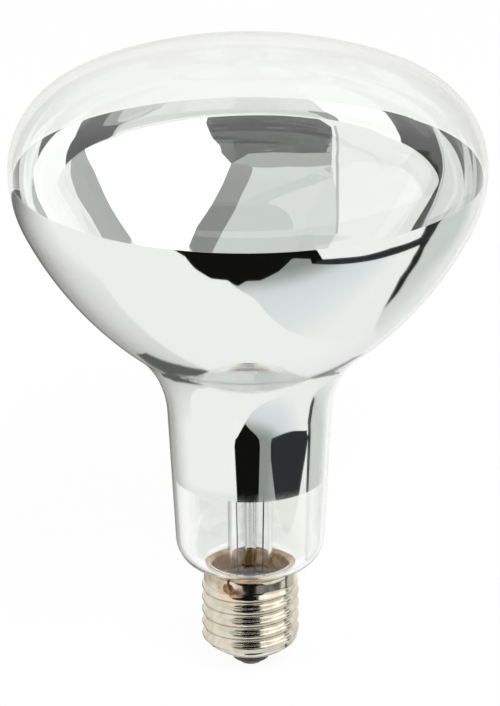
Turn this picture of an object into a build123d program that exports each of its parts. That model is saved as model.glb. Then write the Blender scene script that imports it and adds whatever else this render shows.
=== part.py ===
from build123d import *
from math import acos, atan2, cos, degrees, hypot, radians, sin, sqrt, tan
import os

# Reflector drying bulb with a screw cap. The origin is on the axis at the face of the centre contact,
# and +Z runs up the axis to the domed face. Outlines of turned pieces are drawn in r and z.

# Glass bulb: a domed face, a reflector bowl and a neck, blown as one piece
OVERALL_LENGTH = 173.0
BULB_DIAMETER = 125.0
FACE_RISE = 31.0
FACE_EDGE_RADIUS = 23.0
BOWL_TOP_RADIUS = 32.6
BOWL_TOP_ANGLE = 26.0
BOWL_RADIUS = 100.0
NECK_FILLET_RADIUS = 27.2
NECK_DIAMETER = 40.0
NECK_HALF_ANGLE = 2.9
NECK_END_RADIUS = 8.0
THROAT_FILLET_RADIUS = 2.0
GLASS_WALL = 1.0
SEAL_HEIGHT = 20.0

# Mirror: a metal film on the inside of the bowl and of the upper neck
MIRROR_EDGE_DROP = 1.0
MIRROR_BOTTOM = 55.6
MIRROR_FILM = 0.12
MIRROR_CLEARANCE = 0.1

# Screw cap: a drawn shell with a rolled knuckle thread, seven turns to the inch
THREAD_DIAMETER = 26.25
THREAD_DEPTH = 1.07
THREAD_PITCH = 25.4 / 7
THREAD_START = 7.0
SHELL_WALL = 0.3
CAP_HEIGHT = 28.5
RIM_BAND_DIAMETER = 25.2
RIM_BAND_HEIGHT = 3.6
RUN_OUT_HEIGHT = 1.3
LIP_DIAMETER = 10.6
LIP_HEIGHT = 2.0
CONE_BULGE_RADIUS = 19.4
RIM_GAP = 1.0
CEMENT_WALL = 0.95
CEMENT_DEPTH = 7.3
CEMENT_TOP_GAP = 0.2
FIT_CLEARANCE = 0.05
THREAD_FILL = 0.8
SPARE_TURNS = 3

# Insulator and centre contact at the bottom of the cap
CONTACT_FACE_DIAMETER = 5.8
CONTACT_DIAMETER = 7.0
CONTACT_HEIGHT = 1.0
CONTACT_HOLE_DIAMETER = 1.8
CONTACT_DIMPLE_DIAMETER = 3.0
CONTACT_DIMPLE_DEPTH = 0.5
INSULATOR_THICKNESS = 1.8
INSULATOR_DIAMETER = 22.6

# Stem: flared tube, flattened press, exhaust tube and cane with its button
STEM_DIAMETER = 12.0
STEM_WALL = 1.0
FLARE_START = 30.0
FLARE_RADIUS = 6.5
PRESS_START = 54.0
PRESS_RUN = 6.0
PRESS_TOP = 72.0
PRESS_THICKNESS = 4.8
PRESS_SLOT = 1.0
EXHAUST_DIAMETER = 3.5
EXHAUST_BORE = 2.0
EXHAUST_TIP = 11.0
EXHAUST_SEAT = 61.0
BLOWHOLE_RISE = 1.5
BLOWHOLE_DIAMETER = 1.6
CANE_DIAMETER = 3.2
BUTTON_DIAMETER = 5.6
BUTTON_HEIGHT = 87.0

# Wires, filament and supports
LEAD_SPACING = 7.6
OUTER_LEAD_DIAMETER = 0.4
CENTRE_LEAD_BEND_RADIUS = 1.0
SIDE_LEAD_BEND_RADIUS = 0.25
LEAD_TUCK = 0.85
LEAD_LOW_TUCK = 0.75
SIDE_LEAD_DROP = 2.5
SIDE_LEAD_BEARING = 200.0
RIM_BEND_DROP = 0.5
RIM_BEND_RISE = 0.35
SEAL_WIRE_DIAMETER = 0.5
WELD_KNOT_DIAMETER = 1.0
SEAL_WIRE_BOTTOM = 56.6
SEAL_WIRE_STAND = 1.0
INNER_LEAD_DIAMETER = 0.8
LEAD_BEND_HEIGHT = 80.0
LEAD_BEND_RADIUS = 3.0
FILAMENT_HEIGHT = 98.0
FILAMENT_RADIUS = 13.0
COIL_DIAMETER = 1.0
FILAMENT_GAP_ANGLE = 50.0
CRIMP_DIAMETER = 2.0
CRIMP_LENGTH = 2.4
SUPPORT_COUNT = 5
SUPPORT_DIAMETER = 0.4
SUPPORT_ROOT = 1.2
HOOK_ANGLE = 290.0
HOOK_CLEARANCE = 0.1
SOLDER_BEARING = -118.0
SOLDER_DIAMETER = 3.2
SOLDER_RISE = 0.75
SOLDER_DROP = 2.2

# Sizes that follow from the ones above
WIDEST_HEIGHT = OVERALL_LENGTH - FACE_RISE
MIRROR_TOP = WIDEST_HEIGHT - MIRROR_EDGE_DROP
CREST_RADIUS = THREAD_DIAMETER / 2
CORE_RADIUS = CREST_RADIUS - THREAD_DEPTH
THREAD_END = CAP_HEIGHT - RIM_BAND_HEIGHT
THROAT_RADIUS = CORE_RADIUS - SHELL_WALL - FIT_CLEARANCE - CEMENT_WALL
LEAD_X = LEAD_SPACING / 2
SEAL_WIRE_TOP = PRESS_TOP + SEAL_WIRE_STAND


def polar(centre, radius, angle):
    """Point of a circle at an angle in degrees, counted from +r towards +z."""
    return (centre[0] + radius * cos(radians(angle)), centre[1] + radius * sin(radians(angle)))


def bearing_point(radius, bearing, z):
    """Point at a radius and a bearing in degrees around the axis, counted from +X towards +Y."""
    return (radius * cos(radians(bearing)), radius * sin(radians(bearing)), z)


def turned(edges):
    """Solid of revolution about Z of a closed outline in r and z."""
    return revolve(make_face(Plane.XZ * Curve(edges)), Axis.Z)


def turned_points(points):
    """Solid of revolution of a polygon in r and z."""
    return revolve(make_face(Plane.XZ * Polyline(points, close=True)), Axis.Z)


def round_bar(path, diameter):
    """Round wire or cane swept along a path of lines and tangent arcs."""
    return sweep(Plane(origin=path @ 0, z_dir=path % 0) * Circle(diameter / 2), path=path)


def rod(radius, z_low, z_high, x=0.0):
    """Upright cylinder between two heights."""
    return Pos(x, 0, (z_low + z_high) / 2) * Cylinder(radius, z_high - z_low)


def bulb_arcs():
    """Arcs of the glass's outer skin from the top of the dome down to the throat.

    Each is its centre, radius, first and last angle, and +1 where it bulges or -1 where it is hollow.
    Neighbouring arcs, and the straight neck between two of them, share their tangents.
    """
    widest = BULB_DIAMETER / 2
    edge_r = widest - FACE_EDGE_RADIUS
    rise = FACE_RISE - FACE_EDGE_RADIUS
    drop = (edge_r ** 2 - rise ** 2) / (2 * rise)
    dome_radius = FACE_RISE + drop
    dome_end = degrees(atan2(drop, edge_r))
    bowl_top_centre = (widest - BOWL_TOP_RADIUS, WIDEST_HEIGHT)
    bowl_start = polar(bowl_top_centre, BOWL_TOP_RADIUS, -BOWL_TOP_ANGLE)
    bowl_centre = polar(bowl_start, -BOWL_RADIUS, -BOWL_TOP_ANGLE)

    # The neck is a slight cone that starts at its turn into the throat
    end_centre_z = CAP_HEIGHT + RIM_GAP + NECK_END_RADIUS
    end_centre = (NECK_DIAMETER / 2 - NECK_END_RADIUS * cos(radians(NECK_HALF_ANGLE)), end_centre_z)
    neck_start = polar(end_centre, NECK_END_RADIUS, -NECK_HALF_ANGLE)
    along = (sin(radians(NECK_HALF_ANGLE)), cos(radians(NECK_HALF_ANGLE)))
    beside = polar(neck_start, NECK_FILLET_RADIUS, -NECK_HALF_ANGLE)
    gap = (beside[0] - bowl_centre[0], beside[1] - bowl_centre[1])
    half_sum = gap[0] * along[0] + gap[1] * along[1]
    reach = BOWL_RADIUS + NECK_FILLET_RADIUS
    step = -half_sum - sqrt(half_sum ** 2 - gap[0] ** 2 - gap[1] ** 2 + reach ** 2)
    fillet_centre = (beside[0] + step * along[0], beside[1] + step * along[1])
    bowl_end = degrees(atan2(bowl_centre[1] - fillet_centre[1], fillet_centre[0] - bowl_centre[0]))

    throat_r = THROAT_RADIUS + THROAT_FILLET_RADIUS
    throat_drop = sqrt((NECK_END_RADIUS + THROAT_FILLET_RADIUS) ** 2 - (throat_r - end_centre[0]) ** 2)
    throat_centre = (throat_r, end_centre_z - throat_drop)
    end_turn = degrees(atan2(throat_drop, throat_r - end_centre[0]))
    return [
        ((0.0, WIDEST_HEIGHT - drop), dome_radius, 90.0, dome_end, 1),
        ((edge_r, WIDEST_HEIGHT), FACE_EDGE_RADIUS, dome_end, 0.0, 1),
        (bowl_top_centre, BOWL_TOP_RADIUS, 0.0, -BOWL_TOP_ANGLE, 1),
        (bowl_centre, BOWL_RADIUS, -BOWL_TOP_ANGLE, -bowl_end, 1),
        (fillet_centre, NECK_FILLET_RADIUS, 180.0 - bowl_end, 180.0 - NECK_HALF_ANGLE, -1),
        (end_centre, NECK_END_RADIUS, -NECK_HALF_ANGLE, -end_turn, 1),
        (throat_centre, THROAT_FILLET_RADIUS, 180.0 - end_turn, 180.0, -1),
    ]


def bulb_form(depth, z_end):
    """Solid inside the skin that lies a depth under the glass's outer skin, cut off at z_end."""
    edges = []
    here = None
    for centre, radius, start, end, bulge in bulb_arcs():
        skin = radius - bulge * depth
        first = polar(centre, skin, start)
        middle = polar(centre, skin, (start + end) / 2)
        last = polar(centre, skin, end)
        if here is not None and hypot(first[0] - here[0], first[1] - here[1]) > 1e-6:
            edges.append(Line(here, first))
            edges.append(ThreePointArc(first, middle, last))
        else:
            edges.append(ThreePointArc(here or first, middle, last))
        here = last
    edges.append(Line(here, (THROAT_RADIUS - depth, z_end)))
    edges.append(Line((THROAT_RADIUS - depth, z_end), (0, z_end)))
    edges.append(Line((0, z_end), (0, OVERALL_LENGTH - depth)))
    return turned(edges)


def glass_envelope():
    """Clear blown bulb, open at its throat where the stem is sealed in."""
    return bulb_form(0.0, SEAL_HEIGHT) - bulb_form(GLASS_WALL, SEAL_HEIGHT - GLASS_WALL)


def mirror_coating():
    """Metal film on the inner wall, from just under the widest ring to partway down the neck."""
    depth = GLASS_WALL + MIRROR_CLEARANCE
    film = bulb_form(depth, SEAL_HEIGHT) - bulb_form(depth + MIRROR_FILM, SEAL_HEIGHT - MIRROR_FILM)
    height = MIRROR_TOP - MIRROR_BOTTOM
    band = Pos(0, 0, MIRROR_BOTTOM + height / 2) * Cylinder(BULB_DIAMETER, height)
    return film & band


def pinch(half_thickness, wide, z_low, z_top):
    """Block that squeezes the stem flat: wide below the press and thin from the end of its run up."""
    z_flat = PRESS_START + PRESS_RUN
    third = PRESS_RUN / 2
    right = [
        Line((wide, z_low), (wide, PRESS_START)),
        Bezier(
            (wide, PRESS_START),
            (wide, PRESS_START + third),
            (half_thickness, z_flat - third),
            (half_thickness, z_flat),
        ),
        Line((half_thickness, z_flat), (half_thickness, z_top)),
        Line((half_thickness, z_top), (-half_thickness, z_top)),
        Line((-half_thickness, z_top), (-half_thickness, z_flat)),
        Bezier(
            (-half_thickness, z_flat),
            (-half_thickness, z_flat - third),
            (-wide, PRESS_START + third),
            (-wide, PRESS_START),
        ),
        Line((-wide, PRESS_START), (-wide, z_low)),
        Line((-wide, z_low), (wide, z_low)),
    ]
    return extrude(make_face(Plane.YZ * Curve(right)), STEM_DIAMETER, both=True)


def flare_form(radius, bell_radius, rim_radius, z_low, z_top):
    """Solid of the stem tube that opens into a bell at its lower end."""
    bell_centre = (STEM_DIAMETER / 2 + FLARE_RADIUS, FLARE_START)
    reach = rim_radius - bell_centre[0]
    rim_z = FLARE_START - sqrt(bell_radius ** 2 - reach ** 2)
    rim_angle = degrees(atan2(rim_z - FLARE_START, reach)) % 360
    middle = polar(bell_centre, bell_radius, (180 + rim_angle) / 2)
    edges = [
        Line((0, z_top), (radius, z_top)),
        Line((radius, z_top), (radius, FLARE_START)),
        ThreePointArc((radius, FLARE_START), middle, (rim_radius, rim_z)),
        Line((rim_radius, rim_z), (rim_radius, z_low)),
        Line((rim_radius, z_low), (0, z_low)),
        Line((0, z_low), (0, z_top)),
    ]
    return turned(edges)


def stem_flare(fitted):
    """Flared glass tube, its rim sealed into the throat and its top pressed flat on the wires."""
    outer_r = STEM_DIAMETER / 2
    rim_r = THROAT_RADIUS - GLASS_WALL
    skin = flare_form(outer_r, FLARE_RADIUS, rim_r, SEAL_HEIGHT, PRESS_TOP)
    skin = skin & pinch(PRESS_THICKNESS / 2, rim_r, SEAL_HEIGHT, PRESS_TOP)
    bore_top = PRESS_START + PRESS_RUN - STEM_WALL
    below = SEAL_HEIGHT - STEM_WALL
    bore = flare_form(outer_r - STEM_WALL, FLARE_RADIUS + STEM_WALL, rim_r - STEM_WALL, below, bore_top)
    bore = bore & pinch(PRESS_SLOT / 2, rim_r, below, bore_top)
    stem = skin - bore
    stem = stem - rod(EXHAUST_DIAMETER / 2, below, EXHAUST_SEAT)
    blowhole_z = EXHAUST_SEAT + BLOWHOLE_RISE
    stem = stem - rod(EXHAUST_BORE / 2, EXHAUST_SEAT, blowhole_z)
    blowhole = Pos(0, 0, blowhole_z) * Rot(90, 0, 0) * Cylinder(BLOWHOLE_DIAMETER / 2, STEM_DIAMETER)
    half = Pos(0, STEM_DIAMETER / 2, blowhole_z) * Box(STEM_DIAMETER, STEM_DIAMETER, STEM_DIAMETER)
    stem = stem - (blowhole & half)
    for wire in fitted:
        stem = stem - wire
    return stem


def exhaust_tube():
    """Thin tube through which the bulb was pumped, melted shut to a round tip inside the cap."""
    outer_r = EXHAUST_DIAMETER / 2
    bore_r = EXHAUST_BORE / 2
    tip = Pos(0, 0, EXHAUST_TIP + outer_r) * Sphere(outer_r)
    hollow = Pos(0, 0, EXHAUST_TIP + outer_r) * Sphere(bore_r)
    tube = rod(outer_r, EXHAUST_TIP + outer_r, EXHAUST_SEAT) + tip
    return tube - rod(bore_r, EXHAUST_TIP + outer_r, EXHAUST_SEAT) - hollow


def cane_and_button(fitted):
    """Solid glass cane on the press, with a button melted round the roots of the support wires."""
    cane = rod(CANE_DIAMETER / 2, PRESS_TOP, BUTTON_HEIGHT)
    button = Pos(0, 0, BUTTON_HEIGHT) * Sphere(BUTTON_DIAMETER / 2)
    piece = cane + button
    for wire in fitted:
        piece = piece - wire
    return piece


def seal_wire(x):
    """Wire that seals to the glass of the press, with the weld knot of the outer lead at its foot."""
    wire = rod(SEAL_WIRE_DIAMETER / 2, SEAL_WIRE_BOTTOM, SEAL_WIRE_TOP, x)
    return wire + Pos(x, 0, SEAL_WIRE_BOTTOM) * Sphere(WELD_KNOT_DIAMETER / 2)


def filament():
    """Outer form of the coiled filament: most of a ring in the bulb's focus, open between the leads."""
    start = -90 + FILAMENT_GAP_ANGLE / 2
    ring = Plane.XY.offset(FILAMENT_HEIGHT) * CenterArc((0, 0), FILAMENT_RADIUS, start, 360 - FILAMENT_GAP_ANGLE)
    return round_bar(ring, COIL_DIAMETER)


def inner_lead(side, coil):
    """Stiff wire from the press to one end of the filament, its end folded round the coil."""
    half_crimp = degrees(CRIMP_LENGTH / 2 / FILAMENT_RADIUS)
    bearing = -90 + side * (FILAMENT_GAP_ANGLE / 2 + half_crimp)
    seat = bearing_point(FILAMENT_RADIUS, bearing, FILAMENT_HEIGHT)
    x = side * LEAD_X
    path = FilletPolyline((x, 0, SEAL_WIRE_TOP), (x, 0, LEAD_BEND_HEIGHT), seat, radius=LEAD_BEND_RADIUS)
    fold = Pos(*seat) * Rot(0, 0, bearing) * Rot(90, 0, 0) * Cylinder(CRIMP_DIAMETER / 2, CRIMP_LENGTH)
    return round_bar(path, INNER_LEAD_DIAMETER) + fold - coil


def support_wire(index):
    """Thin wire from the button out to the filament, its tip curled round the coil."""
    arc = (360 - FILAMENT_GAP_ANGLE) / (SUPPORT_COUNT + 1)
    bearing = -90 + FILAMENT_GAP_ANGLE / 2 + index * arc
    hook_radius = (COIL_DIAMETER + SUPPORT_DIAMETER) / 2 + HOOK_CLEARANCE
    centre = (FILAMENT_RADIUS, FILAMENT_HEIGHT)
    root = (SUPPORT_ROOT, BUTTON_HEIGHT)
    back = (root[0] - centre[0], root[1] - centre[1])
    swing = degrees(acos(hook_radius / hypot(*back)))
    touch = degrees(atan2(back[1], back[0])) + swing
    straight = Plane.XZ * Line(root, polar(centre, hook_radius, touch))
    section = Plane(origin=straight @ 1, z_dir=straight % 1) * Circle(SUPPORT_DIAMETER / 2)
    stem = extrude(section, -straight.length)
    curl = revolve(section, Axis((centre[0], 0, centre[1]), (0, -1, 0)), HOOK_ANGLE)
    wire = stem + curl
    return Rot(0, 0, bearing) * wire


def cone_centre():
    """Centre of the arc that runs from the lip out to the thread's core, in r and z."""
    lip = (LIP_DIAMETER / 2, LIP_HEIGHT)
    start = (CORE_RADIUS, THREAD_START)
    span = hypot(start[0] - lip[0], start[1] - lip[1])
    away = sqrt(CONE_BULGE_RADIUS ** 2 - (span / 2) ** 2)
    run = ((start[0] - lip[0]) / span, (start[1] - lip[1]) / span)
    return ((lip[0] + start[0]) / 2 - run[1] * away, (lip[1] + start[1]) / 2 + run[0] * away)


def cone_height(r, depth):
    """Height of the cone's skin, or of the skin a depth under it, at a radius."""
    centre = cone_centre()
    return centre[1] - sqrt((CONE_BULGE_RADIUS - depth) ** 2 - (r - centre[0]) ** 2)


def cap_blank(depth):
    """Turned form that the thread is rolled in: the cone, the thread's full radius and its run-out."""
    lip_r = LIP_DIAMETER / 2
    full_r = CREST_RADIUS + FIT_CLEARANCE - depth
    foot = cone_height(lip_r, depth)
    shoulder = cone_height(full_r, depth)
    middle_r = (lip_r + full_r) / 2
    top = THREAD_END + depth
    band_r = RIM_BAND_DIAMETER / 2 - depth
    edges = [
        Line((0, foot), (lip_r, foot)),
        ThreePointArc((lip_r, foot), (middle_r, cone_height(middle_r, depth)), (full_r, shoulder)),
        Line((full_r, shoulder), (full_r, top - RUN_OUT_HEIGHT)),
        Line((full_r, top - RUN_OUT_HEIGHT), (band_r, top)),
        Line((band_r, top), (0, top)),
        Line((0, top), (0, foot)),
    ]
    return turned(edges)


def thread_outline(depth, z_low, turns):
    """Closed outline of a wall whose outer edge is the thread's wave of tangent arcs, in r and z."""
    quarter = THREAD_PITCH / 4
    arc_radius = (THREAD_PITCH ** 2 / 4 + THREAD_DEPTH ** 2) / (4 * THREAD_DEPTH)
    lean = degrees(atan2(quarter, arc_radius - THREAD_DEPTH / 2))
    crest_centre_r = CREST_RADIUS - arc_radius
    core_centre_r = CORE_RADIUS + arc_radius
    inner_r = CORE_RADIUS / 2
    edges = []
    for turn in range(turns):
        crest = (crest_centre_r, z_low + turn * THREAD_PITCH + quarter)
        hollow = (core_centre_r, crest[1] + 2 * quarter)
        swell = arc_radius - depth
        cup = arc_radius + depth
        edges.append(ThreePointArc(polar(crest, swell, -lean), polar(crest, swell, 0), polar(crest, swell, lean)))
        edges.append(
            ThreePointArc(polar(crest, swell, lean), polar(hollow, cup, 180), polar(hollow, cup, 180 - lean))
        )
    first = edges[0] @ 0
    last = edges[-1] @ 1
    edges.append(Line(last, (inner_r, last.Y)))
    edges.append(Line((inner_r, last.Y), (inner_r, first.Y)))
    edges.append(Line((inner_r, first.Y), first))
    return edges


def threaded_rod(depth):
    """Solid bar with the thread's true helical skin, or with the skin a depth under it."""
    z_low = LIP_HEIGHT
    z_high = THREAD_END + depth
    turns = int((z_high - z_low) / THREAD_PITCH) + SPARE_TURNS
    section = make_face(Plane.XZ * Curve(thread_outline(depth, z_low - THREAD_PITCH, turns)))
    half = sweep(section, path=Helix(THREAD_PITCH, THREAD_PITCH / 2, CREST_RADIUS), is_frenet=True)
    other_half = Pos(0, 0, THREAD_PITCH / 2) * Rot(0, 0, 180) * half
    slab = Pos(0, 0, (z_low + z_high) / 2) * Box(2 * THREAD_DIAMETER, 2 * THREAD_DIAMETER, z_high - z_low)
    return (half & slab) + (other_half & slab) + rod(CORE_RADIUS * THREAD_FILL, z_low, z_high)


def cap_form(depth, z_top):
    """Filled form of the cap, or of its inside when the depth is the wall."""
    threaded = threaded_rod(depth) & cap_blank(depth)
    return threaded + rod(RIM_BAND_DIAMETER / 2 - depth, THREAD_END + depth, z_top)


def screw_shell():
    """Thin drawn shell: plain rim band, rolled thread and a cone that closes in on the insulator."""
    shell = cap_form(0.0, CAP_HEIGHT) - cap_form(SHELL_WALL, CAP_HEIGHT + SHELL_WALL)
    return shell - rod(LIP_DIAMETER / 2, 0, THREAD_START)


def base_insulator():
    """Dark glass cast into the bottom of the shell, with a hole for the wire to the centre contact."""
    lip_r = LIP_DIAMETER / 2
    contact_r = CONTACT_DIAMETER / 2
    edge_r = INSULATOR_DIAMETER / 2
    middle_r = (lip_r + edge_r) / 2
    hole_r = CONTACT_HOLE_DIAMETER / 2
    foot = cone_height(lip_r, SHELL_WALL)
    rim = cone_height(edge_r, SHELL_WALL)
    floor = CONTACT_HEIGHT + INSULATOR_THICKNESS
    edges = [
        Line((hole_r, CONTACT_HEIGHT), (contact_r, CONTACT_HEIGHT)),
        Line((contact_r, CONTACT_HEIGHT), (lip_r, LIP_HEIGHT)),
        Line((lip_r, LIP_HEIGHT), (lip_r, foot)),
        ThreePointArc((lip_r, foot), (middle_r, cone_height(middle_r, SHELL_WALL)), (edge_r, rim)),
        Line((edge_r, rim), (edge_r, rim + SHELL_WALL)),
        Line((edge_r, rim + SHELL_WALL), (lip_r, floor)),
        Line((lip_r, floor), (hole_r, floor)),
        Line((hole_r, floor), (hole_r, CONTACT_HEIGHT)),
    ]
    return turned(edges)


def centre_contact():
    """Low metal button under the insulator, dished round the hole that the wire comes through."""
    hole_r = CONTACT_HOLE_DIAMETER / 2
    dimple_r = CONTACT_DIMPLE_DIAMETER / 2
    edges = [
        Line((hole_r, CONTACT_DIMPLE_DEPTH), (dimple_r, 0)),
        Line((dimple_r, 0), (CONTACT_FACE_DIAMETER / 2, 0)),
        Line((CONTACT_FACE_DIAMETER / 2, 0), (CONTACT_DIAMETER / 2, CONTACT_HEIGHT)),
        Line((CONTACT_DIAMETER / 2, CONTACT_HEIGHT), (hole_r, CONTACT_HEIGHT)),
        Line((hole_r, CONTACT_HEIGHT), (hole_r, CONTACT_DIMPLE_DEPTH)),
    ]
    return turned(edges)


def contact_solder(wire):
    """Solder that fills the dish and the hole of the contact round the end of the wire."""
    hole_r = CONTACT_HOLE_DIAMETER / 2
    dimple_r = CONTACT_DIMPLE_DIAMETER / 2
    plug = turned_points([
        (0, FIT_CLEARANCE),
        (dimple_r * (1 - FIT_CLEARANCE / CONTACT_DIMPLE_DEPTH) + hole_r * FIT_CLEARANCE / CONTACT_DIMPLE_DEPTH,
         FIT_CLEARANCE),
        (hole_r, CONTACT_DIMPLE_DEPTH),
        (hole_r, CONTACT_HEIGHT),
        (0, CONTACT_HEIGHT),
    ])
    return plug - wire


def outer_lead_centre():
    """Thin wire from the press down past the exhaust tube's tip to the centre contact."""
    start = SEAL_WIRE_BOTTOM - WELD_KNOT_DIAMETER / 2 - FIT_CLEARANCE
    below_tip = LIP_HEIGHT + (EXHAUST_TIP - LIP_HEIGHT) / 2
    path = FilletPolyline(
        (LEAD_X, 0, start),
        (LEAD_X * LEAD_TUCK, 0, SEAL_HEIGHT + STEM_WALL),
        (LEAD_X * LEAD_LOW_TUCK, 0, EXHAUST_TIP),
        (0, 0, below_tip),
        (0, 0, CONTACT_DIMPLE_DEPTH),
        radius=CENTRE_LEAD_BEND_RADIUS,
    )
    return round_bar(path, OUTER_LEAD_DIAMETER)


def outer_lead_side():
    """Thin wire from the press under the seal, up through the cement and over the rim of the shell."""
    start = SEAL_WIRE_BOTTOM - WELD_KNOT_DIAMETER / 2 - FIT_CLEARANCE
    wire_r = OUTER_LEAD_DIAMETER / 2
    under_seal = SEAL_HEIGHT - SIDE_LEAD_DROP
    outside_r = RIM_BAND_DIAMETER / 2 + wire_r + FIT_CLEARANCE
    inside_r = THROAT_RADIUS + CEMENT_WALL / 2
    over_rim = CAP_HEIGHT + RIM_BEND_RISE
    path = FilletPolyline(
        (-LEAD_X, 0, start),
        (-LEAD_X * LEAD_TUCK, 0, SEAL_HEIGHT + STEM_WALL),
        bearing_point(LEAD_X, SIDE_LEAD_BEARING, under_seal),
        bearing_point(inside_r, SOLDER_BEARING, under_seal),
        bearing_point(inside_r, SOLDER_BEARING, CAP_HEIGHT - RIM_BEND_DROP),
        bearing_point(RIM_BAND_DIAMETER / 2 - SHELL_WALL, SOLDER_BEARING, over_rim),
        bearing_point(outside_r, SOLDER_BEARING, over_rim),
        bearing_point(outside_r, SOLDER_BEARING, CAP_HEIGHT - SOLDER_DROP),
        radius=SIDE_LEAD_BEND_RADIUS,
    )
    return round_bar(path, OUTER_LEAD_DIAMETER)


def side_solder(wire):
    """Low spot of solder that joins the wire's end to the outside of the rim band."""
    half = SOLDER_DIAMETER / 2
    ball = (half ** 2 + SOLDER_RISE ** 2) / (2 * SOLDER_RISE)
    centre = bearing_point(RIM_BAND_DIAMETER / 2 + SOLDER_RISE - ball, SOLDER_BEARING, CAP_HEIGHT - SOLDER_DROP)
    return Pos(*centre) * Sphere(ball) - rod(RIM_BAND_DIAMETER / 2, 0, 2 * CAP_HEIGHT) - wire


def cement_ring(wire):
    """Heat-hardened cement between the throat of the bulb and the inside of the shell."""
    glass_r = THROAT_RADIUS
    band_r = RIM_BAND_DIAMETER / 2 - SHELL_WALL
    thread_r = CORE_RADIUS - SHELL_WALL - FIT_CLEARANCE
    step = THREAD_END + SHELL_WALL
    top = CAP_HEIGHT - CEMENT_TOP_GAP
    ring = turned_points([
        (glass_r, top - CEMENT_DEPTH),
        (thread_r, top - CEMENT_DEPTH),
        (thread_r, step),
        (band_r, step),
        (band_r, top),
        (glass_r, top),
    ])
    return ring - bulb_form(0.0, SEAL_HEIGHT) - wire


def build_parts():
    """All the bulb's pieces by name."""
    coil = filament()
    side_lead = outer_lead_side()
    centre_lead = outer_lead_centre()
    seals = {"left": seal_wire(-LEAD_X), "right": seal_wire(LEAD_X)}
    supports = [support_wire(index) for index in range(1, SUPPORT_COUNT + 1)]
    parts = {
        "glass_envelope": glass_envelope(),
        "mirror_coating": mirror_coating(),
        "stem_flare": stem_flare(list(seals.values())),
        "exhaust_tube": exhaust_tube(),
        "cane_and_button": cane_and_button(supports),
        "filament": coil,
        "inner_lead_left": inner_lead(-1, coil),
        "inner_lead_right": inner_lead(1, coil),
        "seal_wire_left": seals["left"],
        "seal_wire_right": seals["right"],
        "outer_lead_side": side_lead,
        "outer_lead_centre": centre_lead,
        "screw_shell": screw_shell(),
        "base_insulator": base_insulator(),
        "centre_contact": centre_contact(),
        "contact_solder": contact_solder(centre_lead),
        "side_solder": side_solder(side_lead),
        "cement_ring": cement_ring(side_lead),
    }
    for number, wire in enumerate(supports, start=1):
        parts[f"support_wire_{number}"] = wire
    return parts


os.makedirs("parts", exist_ok=True)
for name, shape in build_parts().items():
    export_step(shape, f"parts/{name}.step")
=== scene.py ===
import bpy
import math
from mathutils import Matrix, Vector


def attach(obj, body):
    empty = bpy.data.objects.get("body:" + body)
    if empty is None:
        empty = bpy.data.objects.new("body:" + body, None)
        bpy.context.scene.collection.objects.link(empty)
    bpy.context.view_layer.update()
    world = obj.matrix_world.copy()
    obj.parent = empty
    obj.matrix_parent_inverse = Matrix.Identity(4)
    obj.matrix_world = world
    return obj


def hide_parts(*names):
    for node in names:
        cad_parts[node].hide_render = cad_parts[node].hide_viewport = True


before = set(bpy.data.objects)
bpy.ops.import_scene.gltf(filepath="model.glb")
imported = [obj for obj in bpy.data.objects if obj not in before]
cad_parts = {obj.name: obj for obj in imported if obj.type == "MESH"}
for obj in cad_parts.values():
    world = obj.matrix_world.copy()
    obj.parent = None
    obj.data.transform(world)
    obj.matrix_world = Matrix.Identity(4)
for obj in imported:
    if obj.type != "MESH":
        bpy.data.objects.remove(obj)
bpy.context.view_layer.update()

# Camera: stands a little over a metre in front of the bulb and looks down on it with a long lens,
# so that the domed face and the whole underside of the bowl show at once.
look_down = math.radians(21.8)
camera_roll = math.radians(-0.35)
stand_off = 1.101
aim = Vector((0.00026, 0.0, 0.0899))
lens = bpy.data.cameras.new("studio_camera")
lens.lens = 212.2
lens.sensor_width = 36.0
studio_camera = bpy.data.objects.new("studio_camera", lens)
back = Vector((0.0, -math.cos(look_down), math.sin(look_down)))
level = Vector((1.0, 0.0, 0.0))
turn = Matrix((level, back.cross(level), back)).transposed().to_4x4()
turn = turn @ Matrix.Rotation(camera_roll, 4, "Z")
studio_camera.matrix_world = Matrix.Translation(aim + back * stand_off) @ turn
bpy.context.scene.collection.objects.link(studio_camera)
bpy.context.scene.camera = studio_camera
bpy.context.scene.view_settings.view_transform = "Standard"


# Table and room: a plain pale sheet that the bulb stands on, in an evenly white room. The sheet looks
# nearly as white as the room and keeps the bulb's own soft shadow. Reflections and rays through glass
# look past it.
table_reach = 6.0
table_glow = 0.93
room_light = 0.7
room_white = 1.0


def calc(tree, task, *values):
    """Result of one arithmetic node, from sockets or plain numbers."""
    node = tree.nodes.new("ShaderNodeMath")
    node.operation = task
    for socket, value in zip(node.inputs, values):
        if isinstance(value, (int, float)):
            socket.default_value = value
        else:
            tree.links.new(value, socket)
    return node.outputs[0]


def mixed(tree, share, first, second):
    """Mix of two shaders: the first where the share is 0 and the second where it is 1."""
    blend = tree.nodes.new("ShaderNodeMixShader")
    tree.links.new(share, blend.inputs[0])
    tree.links.new(first.outputs[0], blend.inputs[1])
    tree.links.new(second.outputs[0], blend.inputs[2])
    return blend.outputs[0]


def seen_rays(tree):
    """Socket that is 1 for rays that look at something, and 0 for rays that light it."""
    path = tree.nodes.new("ShaderNodeLightPath")
    direct_or_mirrored = calc(tree, "MAXIMUM", path.outputs["Is Camera Ray"], path.outputs["Is Glossy Ray"])
    return calc(tree, "MAXIMUM", direct_or_mirrored, path.outputs["Is Transmission Ray"])


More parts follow.
